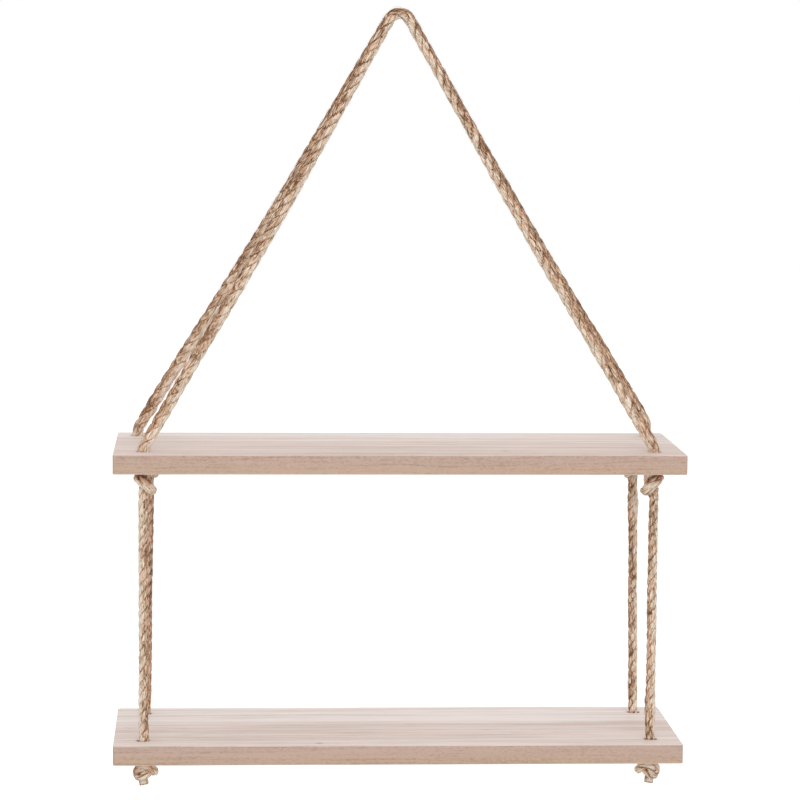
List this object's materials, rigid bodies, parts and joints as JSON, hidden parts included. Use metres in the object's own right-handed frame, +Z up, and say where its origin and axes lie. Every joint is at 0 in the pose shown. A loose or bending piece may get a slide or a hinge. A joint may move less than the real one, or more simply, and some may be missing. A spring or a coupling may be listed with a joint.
{
  "type": "hanging rope shelf",
  "caption": "Hanging shelf of two wooden boards, one above the other, carried at their corners by knotted ropes that run together over a single hook.",
  "frame": {"origin": "top of the hook, where the ropes bear on it, midway between the front rope and the back rope", "axes": "+Z up, +Y towards the wall, +X along the boards to the right as seen from the front"},
  "size_m": [0.43, 0.15, 0.5872],
  "materials": {
    "board_wood": "pale sanded softwood, matt, lightly whitewashed",
    "jute_rope": "three-strand twisted jute, matt and hairy"
  },
  "bodies": {
    "hook_bights": {"front_rope_bight": "jute_rope", "back_rope_bight": "jute_rope"},
    "upper_shelf": {"upper_board": "board_wood", "front_left_rope_run": "jute_rope", "front_left_upper_knot": "jute_rope", "front_right_rope_run": "jute_rope", "front_right_upper_knot": "jute_rope", "back_left_rope_run": "jute_rope", "back_left_upper_knot": "jute_rope", "back_right_rope_run": "jute_rope", "back_right_upper_knot": "jute_rope"},
    "front_left_leg": {"front_left_rope_leg": "jute_rope"},
    "front_right_leg": {"front_right_rope_leg": "jute_rope"},
    "back_left_leg": {"back_left_rope_leg": "jute_rope"},
    "back_right_leg": {"back_right_rope_leg": "jute_rope"},
    "lower_shelf": {"lower_board": "board_wood", "front_left_hole_rope": "jute_rope", "front_left_lower_knot": "jute_rope", "front_left_rope_tail": "jute_rope", "front_right_hole_rope": "jute_rope", "front_right_lower_knot": "jute_rope", "front_right_rope_tail": "jute_rope", "back_left_hole_rope": "jute_rope", "back_left_lower_knot": "jute_rope", "back_left_rope_tail": "jute_rope", "back_right_hole_rope": "jute_rope", "back_right_lower_knot": "jute_rope", "back_right_rope_tail": "jute_rope"}
  },
  "joints": [
    {"name": "hook_swing", "type": "hinge", "parent": "hook_bights", "child": "upper_shelf", "pos_m": [0, 0, 0.01372], "axis": [0, 1, 0], "range_deg": [-12, 12]},
    {"name": "front_left_leg_sway", "type": "hinge", "parent": "upper_shelf", "child": "front_left_leg", "pos_m": [-0.1927, -0.053, -0.35985], "axis": [0, 1, 0], "range_deg": [-20, 20]},
    {"name": "front_right_leg_sway", "type": "hinge", "parent": "upper_shelf", "child": "front_right_leg", "pos_m": [0.1927, -0.053, -0.35985], "axis": [0, 1, 0], "range_deg": [-20, 20]},
    {"name": "back_left_leg_sway", "type": "hinge", "parent": "upper_shelf", "child": "back_left_leg", "pos_m": [-0.1927, 0.053, -0.35985], "axis": [0, 1, 0], "range_deg": [-20, 20]},
    {"name": "back_right_leg_sway", "type": "hinge", "parent": "upper_shelf", "child": "back_right_leg", "pos_m": [0.1927, 0.053, -0.35985], "axis": [0, 1, 0], "range_deg": [-20, 20]},
    {"name": "lower_board_level", "type": "hinge", "parent": "front_left_leg", "child": "lower_shelf", "pos_m": [-0.1927, -0.053, -0.544], "axis": [0, 1, 0], "range_deg": [-20, 20]}
  ],
  "couplings": [
    {"joint": "front_right_leg_sway", "follows": "front_left_leg_sway", "ratio": 1},
    {"joint": "back_left_leg_sway", "follows": "front_left_leg_sway", "ratio": 1},
    {"joint": "back_right_leg_sway", "follows": "front_left_leg_sway", "ratio": 1},
    {"joint": "lower_board_level", "follows": "front_left_leg_sway", "ratio": -1}
  ]
}
